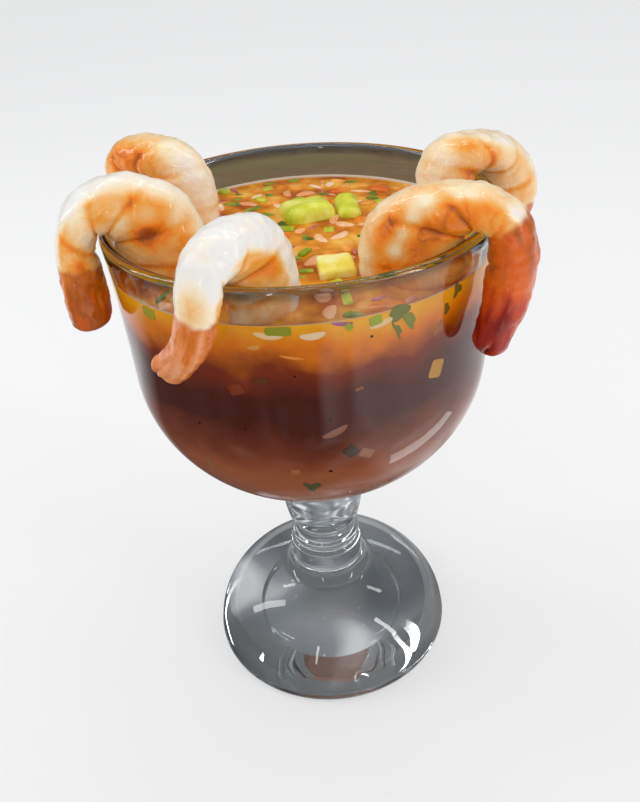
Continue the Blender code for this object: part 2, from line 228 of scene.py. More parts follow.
in_a_shine = add(
    tree, "Mix", COLOURS, _0=bright_shine, _6=linear(FLOOR_IN_LEFT_SHINE), _7=linear(FLOOR_COLOUR)
)
seen_in_glass = add(tree, "Mix", COLOURS, _0=through, _6=in_a_shine, _7=through_glass)
bent_rays = add(tree, "Math", "MAXIMUM", _0=through, _1=shining)
not_yet_soft = add(
    tree,
    "Math",
    {"operation": "SUBTRACT", "use_clamp": True},
    _0=bent_rays,
    _1=rays["Diffuse Depth"],
)
mixed = add(tree, "Mix", COLOURS, _0=not_yet_soft, _6=linear(FLOOR_COLOUR), _7=seen_in_glass)
lit = add(tree, "Mix", COLOURS, _0=OWN_LIGHT, _6=mixed, _7=BLACK)
feed(shader, Base_Color=lit, Emission_Color=mixed, Emission_Strength=OWN_LIGHT)

shape = bmesh.new()
bmesh.ops.create_grid(shape, x_segments=1, y_segments=1, size=FLOOR_SIZE / 2)
floor = finish_mesh("floor", shape, floor_matt)
floor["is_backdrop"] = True
print("floor of", FLOOR_SIZE, "m")

# %% The world
WORLD_SOFT = 0.86
WORLD_SEEN_IN_GLASS = 0.15
WORLD_COLOUR = (0.97, 0.98, 1.0, 1.0)

world = bpy.data.worlds.new("soft_studio")
bpy.context.scene.world = world
world.use_nodes = True
tree = world.node_tree
background = tree.nodes["Background"]
rays = add(tree, "LightPath").outputs
seen_pale = add(tree, "Math", "MAXIMUM", _0=rays["Diffuse Depth"], _1=rays["Is Camera Ray"])
strength = add(tree, "MapRange", Value=seen_pale, To_Min=WORLD_SEEN_IN_GLASS, To_Max=WORLD_SOFT)
feed(background, Color=WORLD_COLOUR, Strength=strength)
print("the world's strength is", WORLD_SEEN_IN_GLASS, "in glass and", WORLD_SOFT, "elsewhere")


# %% The lamps
def soft_box(name, place, width, height, watts, aim=(0, 0, 0.14)):
    """A rectangular lamp at a place, in metres, that faces the bowl or another point."""
    lamp = bpy.data.lights.new(name, "AREA")
    lamp.shape = "RECTANGLE"
    lamp.size, lamp.size_y = width, height
    lamp.energy = watts
    obj = bpy.data.objects.new(name, lamp)
    obj.location = place
    obj.rotation_euler = (Vector(aim) - Vector(place)).to_track_quat("-Z", "Y").to_euler()
    bpy.context.scene.collection.objects.link(obj)
    print(name, watts, "W")
    return obj


# Name, place, width and height in metres, and watts
soft_box("window_left", (-0.75, 0.15, 0.65), 0.10, 0.6, 1.3)
soft_box("window_right", (0.65, -0.35, 0.55), 0.06, 0.5, 1.0)
soft_box("strip_top", (0.05, 0.30, 0.95), 1.3, 0.05, 1.6)
soft_box("strip_front", (-0.25, -0.75, 0.45), 0.03, 0.4, 0.32)

# A narrow card of light lies face up beside the foot, for the long shine low on the bowl
CARD_TURN = math.radians(31)
card = soft_box("card_low_right", (0.120, -0.038, 0.012), 0.112, 0.026, 0.016)
card.rotation_euler = (math.pi, 0, CARD_TURN)
card.visible_camera = False
card.visible_diffuse = False

bpy.context.scene.view_settings.view_transform = "Standard"

# %% [markdown]
# The goblet
#
# Pressed soda glass: a moulded foot and stem and a bowl with a fire-polished lip. Its form
# is turned, so one outline, from the axis under the foot up and over the lip and back down
# inside, is spun round the axis. Straight runs are few, and each round stretch is an arc or
# an ellipse by formula, as the CAD has it, in finer steps. A pressed foot has a shallow
# hollow underneath, which shows through it as a second, smaller ring.

# %% The goblet's outline
GLASS_SIDES = 160
FOOT_RADIUS = 45.6
FOOT_EDGE_RADIUS = 2.5
FOOT_DOME_HEIGHT = 32.5
FOOT_DOME_POWER = 2.15
HOLLOW_RADIUS = 23.0
HOLLOW_HEIGHT = 3.5
STEM_OUTLINE = (
    (13.9, 33.5), (13.3, 38.0), (13.5, 43.0), (12.0, 45.0), (12.8, 47.0), (11.2, 49.6),
    (11.0, 52.0), (13.2, 56.5), (14.6, 66.0), (13.3, 75.0), (12.3, 79.0),
)
BOWL_RADIUS = 57.0
BOWL_TURN_HEIGHT = 130.0
BOWL_DEPTH = 50.0
INSIDE_DEPTH = 42.0
WALL_HALF = 1.75
LIP_RADIUS = 57.25
LIP_HEIGHT = 175.65
COLLAR_RING = 3.0
STEM_TO_BOWL = 1.5

# Steps in a round stretch, in the foot's edge and between two points of the stem, and how
# the steps over the dome crowd towards its edge
FINE = 24
EDGE_STEPS = 8
STEM_STEPS = 5
DOME_STEPPING = 1.8
MERGE_WITHIN = 0.01 * MM


def wall_middle(height):
    """Radius in millimetres of the middle of the upright wall at a height."""
    rise = (height - BOWL_TURN_HEIGHT) / (LIP_HEIGHT - BOWL_TURN_HEIGHT)
    straight = BOWL_RADIUS - WALL_HALF
    return straight + (LIP_RADIUS - straight) * max(rise, 0.0) ** 2


def smooth_through(rows, steps):
    """A Catmull-Rom curve through rows of numbers, with some steps from each to the next."""
    path = []
    last = len(rows) - 1
    for index in range(last):
        before, start = rows[max(index - 1, 0)], rows[index]
        end, after = rows[index + 1], rows[min(index + 2, last)]
        for step in range(steps):
            t = step / steps
            row = []
            for a, b, c, d in zip(before, start, end, after):
                bend = (2 * a - 5 * b + 4 * c - d) * t**2 + (3 * b - a - 3 * c + d) * t**3
                row.append(0.5 * (2 * b + (c - a) * t + bend))
            path.append(tuple(row))
    path.append(tuple(rows[last]))
    return path


def foot_outline():
    """Hollow, flat ring, rounded edge and dome of the foot, from the axis outwards and up."""
    outline = []
    for step in range(FINE // 2 + 1):
        turn = math.pi / 2 * step / (FINE // 2)
        outline.append((HOLLOW_RADIUS * math.sin(turn), HOLLOW_HEIGHT * math.cos(turn)))
    edge_middle = FOOT_RADIUS - FOOT_EDGE_RADIUS
    for step in range(EDGE_STEPS):
        turn = math.pi / 2 * step / EDGE_STEPS
        radius = edge_middle + FOOT_EDGE_RADIUS * math.sin(turn)
        outline.append((radius, FOOT_EDGE_RADIUS * (1 - math.cos(turn))))
    collar = STEM_OUTLINE[0][0] + COLLAR_RING
    for step in range(FINE + 1):
        radius = FOOT_RADIUS - (FOOT_RADIUS - collar) * (step / FINE) ** DOME_STEPPING
        share = (radius / FOOT_RADIUS) ** FOOT_DOME_POWER
        height = FOOT_DOME_HEIGHT * max(1 - share, 0.0) ** (1 / FOOT_DOME_POWER)
        outline.append((radius, max(height, FOOT_EDGE_RADIUS)))
    return outline


def bowl_arc(radius, depth, from_radius):
    """The round bottom of the bowl, from near the stem out to where the wall stands up."""
    start = math.asin(from_radius / radius)
    points = []
    for step in range(FINE + 1):
        turn = start + (math.pi / 2 - start) * step / FINE
        points.append((radius * math.sin(turn), BOWL_TURN_HEIGHT - depth * math.cos(turn)))
    return points


def wall_side(offset, top):
    """The upright part of the wall, a distance off its middle, from the bottom up."""
    points = []
    for step in range(1, FINE // 2 + 1):
        height = BOWL_TURN_HEIGHT + (top - BOWL_TURN_HEIGHT) * step / (FINE // 2)
        points.append((wall_middle(height) + offset, height))
    return points


def lip_arc():
    """The rounded lip, from its outer side over the top to its inner side."""
    points = []
    for step in range(1, FINE // 2):
        turn = math.pi * step / (FINE // 2)
        radius = LIP_RADIUS + WALL_HALF * math.cos(turn)
        points.append((radius, LIP_HEIGHT + WALL_HALF * math.sin(turn)))
    return points


def inside_outline(gap, top):
    """The inner side of the bowl, moved inwards by a gap, from the axis up to a height."""
    radius = BOWL_RADIUS - 2 * WALL_HALF - gap
    return bowl_arc(radius, INSIDE_DEPTH - gap, 0.0) + wall_side(-WALL_HALF - gap, top)


def turned(outline, sides):
    """A closed bmesh spun about Z from an outline in millimetres, with its faces outwards."""
    shape = bmesh.new()
    points = [shape.verts.new((r * MM, 0.0, z * MM)) for r, z in outline]
    edges = [shape.edges.new(pair) for pair in zip(points, points[1:])]
    bmesh.ops.spin(
        shape,
        geom=points + edges,
        cent=(0, 0, 0),
        axis=(0, 0, 1),
        angle=math.tau,
        steps=sides,
        use_merge=True,
    )
    bmesh.ops.remove_doubles(shape, verts=shape.verts, dist=MERGE_WITHIN)
    bmesh.ops.recalc_face_normals(shape, faces=shape.faces)
    return shape


# %% The glass material
# Soda glass, pressed and fire-polished: IOR 1.52, very smooth, with a faint grey-green cast
# in its thickness and slow waves from the mould that bend its reflections a little. The
# lip is tinted darker and bluer than the wall, a painted shade for the dark room it shows.
MOULD_WAVE = 14 * MM
GLASS_COLOUR, LIP_PAINTED_SHADE = "F4F7F8", "A8B6C6"
LIP_TINT_FROM, LIP_TINT_FULL = 173.2 * MM, 174.7 * MM

soda_glass, tree, shader = new_material(
    "pressed_soda_glass", Roughness=0.0, IOR=1.52, Transmission_Weight=1.0
)
place = add(tree, "TexCoord").outputs["Object"]
height = add(tree, "SeparateXYZ", Vector=place).outputs["Z"]
in_the_lip = add(tree, "MapRange", Value=height, From_Min=LIP_TINT_FROM, From_Max=LIP_TINT_FULL)
# The lip's darker, bluer tint is painted shade
colour = add(tree, "Mix", COLOURS, _0=in_the_lip, _6=linear(GLASS_COLOUR), _7=linear(LIP_PAINTED_SHADE))
waves = add(tree, "TexNoise", Vector=place, Scale=1 / MOULD_WAVE, Detail=1.0)
bump = add(tree, "Bump", Strength=0.10, Distance=1 * MM, Height=waves)
feed(shader, Base_Color=colour, Normal=bump)
print(soda_glass.name, "has", len(tree.nodes), "nodes")

# %% The glass
outline = foot_outline()
outline += smooth_through(STEM_OUTLINE, STEM_STEPS)
outline += bowl_arc(BOWL_RADIUS, BOWL_DEPTH, STEM_OUTLINE[-1][0] + STEM_TO_BOWL)
outline += wall_side(WALL_HALF, LIP_HEIGHT)
outline += lip_arc()
outline += reversed(inside_outline(0.0, LIP_HEIGHT))
glass = finish_mesh("goblet", turned(outline, GLASS_SIDES), soda_glass, sharp=50)
piece(glass, "clear_glass", "glass")

# %% [markdown]
# The broth
#
# A thin tomato and lime broth, cloudy with fine pulp. It is drawn as a solid body that
# reaches just into the glass wall, so no film of air shows between them. Light falls in
# from above, so it glows orange near its surface and turns a deep red brown further down;
# the finish paints that by height, which is the same from every side. The surface climbs
# the wall a little all round, as any liquid does.

# %% The broth's body
BROTH_LEVEL = 165.7
INTO_WALL = 0.6
MENISCUS_HEIGHT = 0.9
MENISCUS_WIDTH = 2.5
SURFACE_RINGS = 18
EDGE_RADIUS = wall_middle(BROTH_LEVEL) - WALL_HALF


def surface_height(radius):
    """Height of the broth's surface at a radius: flat, and climbing at the wall."""
    near = max(0.0, 1 - (EDGE_RADIUS - radius) / MENISCUS_WIDTH)
    return BROTH_LEVEL + MENISCUS_HEIGHT * min(near, 1.0) ** 2


outline = inside_outline(-INTO_WALL, BROTH_LEVEL + MENISCUS_HEIGHT)
reach = outline[-1][0]
for ring in range(1, SURFACE_RINGS + 1):
    radius = reach * (1 - (ring / SURFACE_RINGS) ** 2)
    outline.append((radius, surface_height(radius)))
print("the broth's surface is", round(EDGE_RADIUS, 1), "mm in radius")

# %% The broth material
# Water, tomato and fine pulp: glossy where it meets air, and with no pattern of its own. Its
# sides are painted by height for the light that falls in from above, shifted in slow clouds:
# orange near the surface and darker red below, with a faint painted glow. Its surface has
# paler oil and pulp, and a pale ring at the wall is a painted highlight on the meniscus.
CLOUD = 15 * MM
CLOUD_SHIFT = 17 * MM
PULP = 9 * MM
PAINTED_GLOW_STRENGTH = 0.20
PALE_EDGE = 1.2
MENISCUS_HIGHLIGHT = "E8DCC8"
BROTH_BOTTOM, BROTH_TOP = 88 * MM, 166 * MM

tomato_broth, tree, shader = new_material("tomato_broth", Roughness=0.10, IOR=1.34)
place = add(tree, "TexCoord").outputs["Object"]
height = add(tree, "SeparateXYZ", Vector=place).outputs["Z"]
clouds = add(tree, "TexNoise", Vector=place, Scale=1 / CLOUD, Detail=3.0)
shift = add(tree, "Math", "MULTIPLY_ADD", _0=clouds, _1=CLOUD_SHIFT, _2=height)
depth = add(
    tree,
    "MapRange",
    Value=shift,
    From_Min=BROTH_BOTTOM + CLOUD_SHIFT / 2,
    From_Max=BROTH_TOP + CLOUD_SHIFT / 2,
)
# The sides' colour by height is painted light and shade from above
painted_light_by_height = add(
    tree,
    "ValToRGB",
    stops=(
        (0.0, "8A604A"), (0.18, "AC6A48"), (0.36, "A65C36"), (0.48, "80391A"), (0.60, "541A06"),
        (0.72, "561A04"), (0.82, "883004"), (0.90, "EC8208"), (1.0, "FFB618"),
    ),
    _0=depth,
)
pulp = add(tree, "TexNoise", Vector=place, Scale=1 / PULP, Detail=3.0)
surface_colour = add(
    tree,
    "ValToRGB",
    stops=((0.32, "A85010"), (0.48, "CE7A18"), (0.60, "E2982A"), (0.74, "F0BC54")),
    _0=pulp,
)
level = add(tree, "VectorMath", "MULTIPLY", _0=place, _1=(1.0, 1.0, 0.0))
from_axis = add(tree, "VectorMath", "LENGTH", _0=level)
# A pale ring where the surface meets the wall: a painted highlight on the meniscus
meniscus_highlight_mask = add(
    tree,
    "MapRange",
    Value=from_axis,
    From_Min=(EDGE_RADIUS - PALE_EDGE) * MM,
    From_Max=EDGE_RADIUS * MM,
)
surface_with_highlight = add(tree, "Mix", COLOURS, _0=meniscus_highlight_mask, _6=surface_colour, _7=linear(MENISCUS_HIGHLIGHT))
normal = add(tree, "NewGeometry").outputs["Normal"]
facing_up = add(tree, "SeparateXYZ", Vector=normal).outputs["Z"]
on_top = add(tree, "MapRange", Value=facing_up, From_Min=0.5, From_Max=0.9)
colour = add(tree, "Mix", COLOURS, _0=on_top, _6=painted_light_by_height, _7=surface_with_highlight)
# The sides' emission is a painted glow
painted_side_glow = add(tree, "Mix", COLOURS, _0=on_top, _6=painted_light_by_height, _7=BLACK)
bump = add(tree, "Bump", Strength=0.2, Distance=0.6 * MM, Height=pulp)
feed(shader, Base_Color=colour, Normal=bump, Emission_Color=painted_side_glow, Emission_Strength=PAINTED_GLOW_STRENGTH)

broth = finish_mesh("broth_body", turned(outline, GLASS_SIDES), tomato_broth, sharp=60)
piece(broth, "tomato_broth", "broth")

# %% [markdown]
# The shrimps
#
# Each shrimp is peeled but for its tail. Its body is a hook: six segments of firm flesh,
# pale on the back and orange on the belly, where the muscle shows as rounded lobes, and
# each segment tucks under the one before it. The shape is a fine grid rolled into a tube:
# each of its rows becomes a ring on the hook's route, turned square to the route, sized by
# the body's half height and half width there, and pinched at the segments.

# %% The shrimps' places and outlines
# Each crosses the lip at one angle round the glass and hangs in an upright plane that points
# another way, both in degrees. A row has a point of the belly and one of the back, both as
# distance outwards and height from the lip, then the half width and the shift sideways.
SHRIMPS = {
    "shrimp_left_front": dict(crosses_at=195.5, points_to=181.5, rows=(
        (-10.0, -17.5, -24.5, -17.5, 6.0, 0.0),
        (-4.4, -10.5, -28.8, -10.0, 8.6, 0.0),
        (-2.9, -3.5, -28.6, 0.0, 9.4, 0.0),
        (-2.7, -0.4, -26.4, 8.4, 9.6, 0.0),
        (-2.2, 1.4, -20.2, 15.0, 9.6, 0.0),
        (-1.2, 2.4, -10.5, 18.6, 9.4, 0.0),
        (0.0, 2.7, 0.4, 17.7, 9.2, -0.4),
        (1.5, 2.1, 8.8, 12.2, 8.9, -1.8),
        (2.4, -0.4, 12.5, 3.0, 8.6, -3.6),
        (1.6, -6.5, 13.2, -6.5, 8.4, -5.0),
        (1.2, -14.0, 13.2, -14.5, 8.2, -5.8),
        (1.4, -19.8, 12.8, -20.2, 7.6, -6.2),
        (2.4, -23.0, 12.0, -23.6, 6.8, -6.4),
    )),
    "shrimp_left_back": dict(crosses_at=146.0, points_to=145.0, rows=(
        (-9.0, -16.5, -22.0, -16.5, 5.8, 0.0),
        (-4.2, -10.5, -24.6, -10.0, 8.0, 0.0),
        (-2.9, -3.5, -24.6, 0.0, 8.8, 0.0),
        (-2.7, -0.4, -22.5, 8.0, 8.8, 0.0),
        (-2.1, 1.4, -16.5, 13.4, 8.6, 0.0),
        (-1.1, 2.4, -8.0, 15.9, 8.4, 0.0),
        (0.0, 2.7, 2.8, 15.8, 8.2, 0.0),
        (1.6, 2.1, 12.6, 12.4, 7.8, 0.0),
        (2.7, -0.4, 17.4, 4.0, 7.6, 0.0),
        (3.0, -6.5, 18.0, -6.0, 7.2, 0.0),
        (3.4, -14.5, 15.2, -15.5, 6.0, 0.0),
        (5.4, -21.0, 11.4, -22.0, 6.6, 0.0),
        (6.3, -28.0, 8.8, -29.0, 8.0, 0.0),
    )),
    "shrimp_front": dict(crosses_at=246.0, points_to=234.8, rows=(
        (-10.0, -17.0, -23.0, -17.0, 5.6, -4.7),
        (-4.6, -10.5, -27.0, -10.0, 7.6, -4.7),
        (-3.0, -3.5, -26.4, 0.0, 8.2, -4.4),
        (-2.8, -0.3, -23.4, 8.5, 8.2, -4.0),
        (-2.2, 1.5, -17.4, 14.2, 8.0, -3.2),
        (-1.2, 2.4, -8.5, 16.6, 7.8, -2.6),
        (0.0, 2.7, 0.5, 15.6, 7.3, -2.4),
        (1.6, 2.1, 8.0, 11.0, 6.7, -2.4),
        (2.7, -0.6, 12.6, 1.5, 6.0, -2.4),
        (3.2, -6.5, 13.2, -6.5, 5.6, -0.8),
        (4.4, -13.0, 12.9, -13.4, 5.0, 2.8),
        (6.4, -18.4, 11.4, -19.2, 4.8, 8.2),
        (7.6, -22.0, 10.0, -23.2, 5.2, 14.0),
    )),
    "shrimp_right_front": dict(crosses_at=-37.4, points_to=-13.9, rows=(
        (-12.0, -17.0, -27.0, -17.0, 5.8, 0.6),
        (-5.6, -10.5, -30.8, -10.0, 8.2, 0.7),
        (-3.4, -3.5, -30.8, 0.0, 8.8, 0.7),
        (-3.1, -0.2, -27.2, 8.2, 8.8, 0.4),
        (-2.5, 1.7, -19.4, 13.3, 8.8, 0.0),
        (-1.3, 2.7, -9.5, 15.5, 8.6, 0.0),
        (0.2, 3.0, 2.0, 14.8, 8.4, 0.0),
        (2.2, 2.3, 11.0, 10.0, 8.2, 0.3),
        (3.4, -0.8, 15.8, 1.5, 8.0, 0.6),
        (3.0, -7.5, 16.4, -7.5, 7.8, 1.6),
        (2.4, -15.0, 14.6, -17.0, 7.0, 3.6),
        (1.2, -21.5, 11.6, -24.6, 5.2, 5.6),
        (-0.4, -27.5, 8.4, -32.0, 3.2, 7.4),
    )),
    "shrimp_right_back": dict(crosses_at=14.0, points_to=15.0, rows=(
        (-8.0, -17.0, -18.6, -15.5, 5.4, 2.6),
        (-4.0, -10.5, -20.0, -7.5, 8.0, 3.0),
        (-2.9, -3.5, -20.4, 2.0, 9.0, 3.0),
        (-2.7, -0.3, -18.6, 9.2, 9.2, 2.8),
        (-2.1, 1.6, -13.6, 13.8, 9.2, 2.2),
        (-1.1, 2.6, -5.6, 14.9, 9.2, 1.4),
        (0.2, 2.8, 3.8, 13.5, 9.2, 0.4),
        (1.8, 2.1, 13.4, 9.5, 9.0, -0.8),
        (2.8, -0.6, 20.6, 1.4, 8.6, -1.8),
        (3.2, -7.0, 23.0, -7.6, 8.2, -2.4),
        (3.6, -14.5, 20.2, -16.8, 7.2, -2.6),
        (5.0, -20.5, 14.8, -24.0, 6.4, -2.4),
        (6.2, -26.5, 10.4, -30.5, 7.0, -2.2),
    )),
}
print(len(SHRIMPS), "shrimps")

# %% From rows to rings
FLESH_TO_GLASS = 0.35
ROW_STEPS = 12


def off_the_wall(point):
    """Moves a point of flesh, in millimetres, off the glass it is pressed flat against."""
    height = min(point.z, LIP_HEIGHT)
    radius = math.hypot(point.x, point.y)
    away = Vector((radius - wall_middle(height), point.z - height))
    reach = WALL_HALF + FLESH_TO_GLASS
    if away.length >= reach or point.z < BOWL_TURN_HEIGHT:
        return point
    away *= reach / away.length
    scale = (wall_middle(height) + away.x) / radius
    return Vector((point.x * scale, point.y * scale, height + away.y))


def evenly_along(path, count):
    """Rows at equal distances along the middle between a path's belly and back points."""
    middles = [((row[0] + row[2]) / 2, (row[1] + row[3]) / 2, row[5]) for row in path]
    lengths = [0.0]
    for start, end in zip(middles, middles[1:]):
        lengths.append(lengths[-1] + math.dist(start, end))
    rows = []
    place = 0
    for index in range(count):
        target = lengths[-1] * index / (count - 1)
        while place < len(path) - 2 and lengths[place + 1] < target:
            place += 1
        span = lengths[place + 1] - lengths[place]
        share = (target - lengths[place]) / span
        rows.append(tuple(a + (b - a) * share for a, b in zip(path[place], path[place + 1])))
    return rows


def shrimp_rings(shrimp, count):
    """For each ring of a shrimp: its middle, half height towards the back, half width."""
    crosses = math.radians(shrimp["crosses_at"])
    points = math.radians(shrimp["points_to"])
    lip = Vector((math.cos(crosses), math.sin(crosses), 0)) * LIP_RADIUS
    lip.z = LIP_HEIGHT
    outwards = Vector((math.cos(points), math.sin(points), 0))
    side = outwards.cross(UP)
    rings = []
    for row in evenly_along(smooth_through(shrimp["rows"], ROW_STEPS), count):
        belly = lip + outwards * row[0] + UP * row[1] + side * row[5]
        back = lip + outwards * row[2] + UP * row[3] + side * row[5]
        rings.append(((belly + back) / 2, (back - belly) / 2, row[4]))
    return rings


# %% How each shrimp looks
# Tone and milk: how orange the flesh is on the belly and on the back.
# Pale down to: how far round from the back the milky flesh reaches, 1 at the back itself and
# -1 at the belly. Shell from: the share of the length where the tail's shell starts. Red and
# tail red: how dark the shell is at its start and in the fan. Fan: whether the tail ends in
# an open fan or is bitten off blunt. Blushes and shade: x, y, z and radius of a patch in
# millimetres, and how much more orange it is, or paler where negative. Some orange patches
# are painted shade, such as those inside the hook and in a crease of the left front shrimp.
LOOKS = {
    # Its patches at -40.8, -24.5 inside the hook and at -60.2, -27.7 in a crease are painted shade
    "shrimp_left_front": dict(
        milk=0.12, tone=0.50, pale_down_to=0.80, shell_from=0.745,
        red=0.40, tail_red=0.50, fan=0, blushes_and_shade=(
            (-36.8, -22.0, 187.4, 3.6, 0.22), (-43.1, -22.2, 189.4, 3.6, 0.16),
            (-52.9, -24.5, 185.0, 3.2, 0.20), (-40.8, -24.5, 180.6, 4.6, 0.42),
            (-31.0, -18.9, 183.8, 3.2, 0.20), (-48.4, -23.8, 184.3, 3.0, -0.22),
            (-40.1, -23.9, 185.6, 2.6, -0.24), (-33.8, -21.9, 181.8, 3.2, -0.14),
            (-31.5, -20.5, 178.0, 3.4, 0.26), (-54.5, -26.0, 179.6, 4.2, -0.42),
            (-58.2, -16.9, 191.5, 6.0, -0.12), (-60.1, -23.1, 187.3, 5.0, -0.30),
            (-60.2, -27.7, 173.8, 2.4, 0.40),
        ),
    ),
    "shrimp_left_back": dict(
        milk=0.24, tone=0.40, pale_down_to=0.75, shell_from=0.76,
        red=0.35, tail_red=0.55, fan=1, blushes_and_shade=(
            (-48.5, 23.5, 185.6, 8.5, 0.30), (-57.5, 31.2, 186.5, 7.5, 0.24),
            (-44.8, 24.9, 190.2, 4.0, -0.08), (-35.5, 17.7, 185.4, 7.0, -0.14),
            (-30.3, 15.8, 177.7, 6.0, -0.10),
        ),
    ),
    "shrimp_front": dict(
        milk=0.02, tone=0.48, pale_down_to=0.15, shell_from=0.66,
        red=0.27, tail_red=0.25, fan=1, blushes_and_shade=(
            (-7.0, -49.2, 179.7, 4.6, 0.20), (-11.4, -53.6, 182.0, 3.6, 0.16),
            (-17.2, -59.5, 182.4, 3.2, -0.30), (-8.8, -50.6, 185.7, 3.0, -0.20),
            (-19.3, -61.6, 179.6, 3.2, -0.30), (-26.2, -64.2, 177.2, 5.5, 0.34),
        ),
    ),
    "shrimp_right_front": dict(
        milk=0.24, tone=0.58, pale_down_to=0.72, shell_from=0.555,
        red=0.57, tail_red=0.90, fan=1, blushes_and_shade=(
            (21.0, -36.0, 179.8, 3.0, 0.25), (23.2, -36.2, 183.4, 2.8, 0.25),
            (25.8, -36.0, 186.2, 2.4, 0.20), (18.1, -32.5, 181.2, 5.0, 0.12),
            (30.9, -33.9, 190.0, 8.0, 0.13), (18.4, -35.1, 175.6, 3.0, 0.10),
            (23.8, -38.8, 176.4, 2.4, -0.34), (25.6, -39.0, 180.6, 2.4, -0.36),
            (28.4, -39.0, 185.0, 2.6, -0.36), (32.0, -38.6, 187.8, 3.0, -0.34),
            (37.3, -41.0, 185.6, 5.0, 0.06), (30.0, -40.0, 177.6, 5.0, 0.22),
            (35.5, -40.9, 181.6, 5.0, 0.16), (43.2, -42.9, 184.4, 4.0, 0.18),
            (47.2, -40.9, 188.6, 4.0, 0.14), (52.2, -41.6, 184.0, 3.0, -0.34),
        ),
    ),
    "shrimp_right_back": dict(
        milk=0.20, tone=0.40, pale_down_to=0.72, shell_from=0.76,
        red=0.35, tail_red=0.55, fan=1, blushes_and_shade=(
            (47.2, 4.7, 189.6, 3.6, 0.20), (51.5, 3.7, 188.6, 3.0, 0.32),
            (51.3, 1.5, 180.4, 3.4, 0.32), (45.2, 0.8, 184.2, 3.0, -0.22),
            (57.9, 4.9, 183.3, 3.6, 0.28), (39.8, 3.7, 183.7, 4.0, 0.12),
            (64.8, 8.7, 184.6, 5.0, -0.10), (71.4, 12.4, 170.3, 6.0, 0.06),
        ),
    ),
}
print(sum(len(look["blushes_and_shade"]) for look in LOOKS.values()), "patches on", len(LOOKS), "shrimps")

# %% The shrimps' bodies
BODY_RINGS = 170
BODY_SIDES = 64
MERGE_AT_ENDS = 0.002 * MM

# Segments: how many, the share of the length that they fill, and how far each slants
SEGMENTS = 6
BODY_SHARE = 24 / 31
TAIL_BLEND = 0.02
SLANT = 0.20

# Creases and lobes, as shares of a segment's length or of the body's size
CREASE_WIDTH = 0.09
CREASE_ON_BACK = 0.020
CREASE_ON_BELLY = 0.075
BELLY_FROM = 0.6
LOBE_HEIGHT = 0.045
LOBE_ON_BACK = 0.2
LOBE_SUNK = 0.4
BELLY_NARROWER = 0.18
ROUNDED_END = 0.05
SMALLEST_END = 0.0004

# The tail's blades: where they open, how round, deep and long they are
TAIL_BLADES = 3
FAN_OPENS = (0.84, 0.97)
FAN_LENGTHENS = (0.9, 1.0)
BLADE_ROUNDNESS = 0.6
BLADE_DEPTH = 0.35
BLADE_REACH = 1.8
BLADE_MIDDLE = 0.7

# Lumps and dimples of the flesh in millimetres: how wide and how high
LUMP, LUMP_HEIGHT = 5.0, 0.46
DIMPLE, DIMPLE_HEIGHT = 1.8, 0.14
SMOOTHER_FAN = 0.7

# What the finish reads: how the milky back fades out, and how creases and lobes differ
MILKY_BELOW, MILKY_ABOVE = 0.30, 0.16
CREASE_ORANGE = 0.16
CREASE_UNDER_MILK = 0.7
LOBE_PALER = 0.06
SHELL_WAVE, SHELL_WAVE_HEIGHT = 2.5, 0.012
SHELL_BELOW, SHELL_ABOVE = 0.008, 0.014
RED_GROWS_AFTER, RED_FULL = 0.12, 0.93

# Streaks of the shell: how many round it and along it, and how strong
STREAKS = ((2.6, 9.0, 1.0), (7.0, 14.0, 0.5))
STREAK_STRENGTH = 0.15
SHELL_BACK_PALER = 0.06


def rise(value, low, high):
    """0 below low, 1 above high, and a smooth rise between."""
    t = min(max((value - low) / (high - low), 0.0), 1.0)
    return t * t * (3 - 2 * t)


def blush_and_shade_at(point, blushes_and_shade):
    """How much more orange, or paler where negative, the flesh is at a point, painted shade in
    part.
    """
    total = 0.0
    for x, y, z, radius, amount in blushes_and_shade:
        away = (point - Vector((x, y, z))).length / radius
        total += amount * math.exp(-away * away)
    return total


